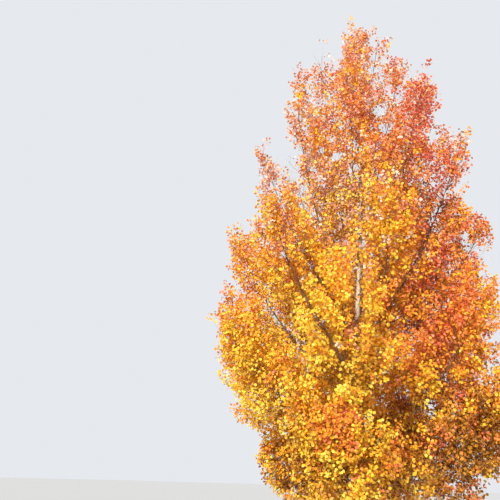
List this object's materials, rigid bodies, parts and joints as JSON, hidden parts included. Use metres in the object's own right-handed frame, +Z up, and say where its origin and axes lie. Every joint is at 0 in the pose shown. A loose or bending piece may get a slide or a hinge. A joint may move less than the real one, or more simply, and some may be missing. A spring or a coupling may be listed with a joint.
{
  "type": "poplar tree",
  "caption": "Young quaking poplar in autumn leaf: a straight pale trunk with a root flare, tiers of rising boughs and an open pointed crown of leaves.",
  "frame": {"origin": "middle of the flat cut under the trunk, at ground level", "axes": "+Z up along the trunk, -Y towards the side that the picture shows, +X to the right of that side"},
  "size_m": [5.4888, 5.9122, 11.8457],
  "materials": {
    "bark": "pale cream bark, matt, with dark scars",
    "bough_bark": "tan bark, matt",
    "leaf_yellow": "yellow autumn leaves, satin",
    "leaf_gold": "golden autumn leaves, satin",
    "leaf_amber": "amber autumn leaves, satin",
    "leaf_orange": "orange autumn leaves, satin",
    "leaf_coral": "red-orange autumn leaves, satin",
    "leaf_salmon": "salmon autumn leaves, satin"
  },
  "bodies": {
    "root": {"trunk": "bark", "bough_skirt_1": "bough_bark", "bough_skirt_2": "bough_bark", "bough_skirt_3": "bough_bark", "bough_skirt_4": "bough_bark", "bough_skirt_5": "bough_bark", "bough_low_1": "bough_bark", "bough_low_2": "bough_bark", "bough_low_3": "bough_bark", "bough_low_4": "bough_bark", "bough_low_5": "bough_bark", "bough_low_6": "bough_bark", "bough_middle_1": "bough_bark", "bough_middle_2": "bough_bark", "bough_middle_3": "bough_bark", "bough_middle_4": "bough_bark", "bough_middle_5": "bough_bark", "bough_middle_6": "bough_bark", "bough_high_1": "bough_bark", "bough_high_2": "bough_bark", "bough_high_3": "bough_bark", "bough_high_4": "bough_bark", "bough_high_5": "bough_bark", "bough_high_6": "bough_bark", "leaves_skirt_1": "leaf_yellow", "leaves_skirt_2": "leaf_yellow", "leaves_skirt_3": "leaf_yellow", "leaves_skirt_4": "leaf_yellow", "leaves_skirt_5": "leaf_yellow", "leaves_low_1": "leaf_gold", "leaves_low_2": "leaf_gold", "leaves_low_3": "leaf_gold", "leaves_low_4": "leaf_gold", "leaves_low_5": "leaf_gold", "leaves_low_6": "leaf_gold", "leaves_middle_1": "leaf_amber", "leaves_middle_2": "leaf_amber", "leaves_middle_3": "leaf_amber", "leaves_middle_4": "leaf_amber", "leaves_middle_5": "leaf_amber", "leaves_middle_6": "leaf_amber", "leaves_high_1": "leaf_orange", "leaves_high_2": "leaf_orange", "leaves_high_3": "leaf_orange", "leaves_high_4": "leaf_orange", "leaves_high_5": "leaf_orange", "leaves_high_6": "leaf_orange", "leaves_upper_1": "leaf_coral", "leaves_upper_2": "leaf_coral", "leaves_upper_3": "leaf_coral", "leaves_upper_4": "leaf_coral", "leaves_upper_5": "leaf_coral", "leaves_top_1": "leaf_salmon", "leaves_top_2": "leaf_salmon", "leaves_top_3": "leaf_salmon", "leaves_top_4": "leaf_salmon", "leaves_leader": "leaf_salmon"}
  },
  "joints": []
}
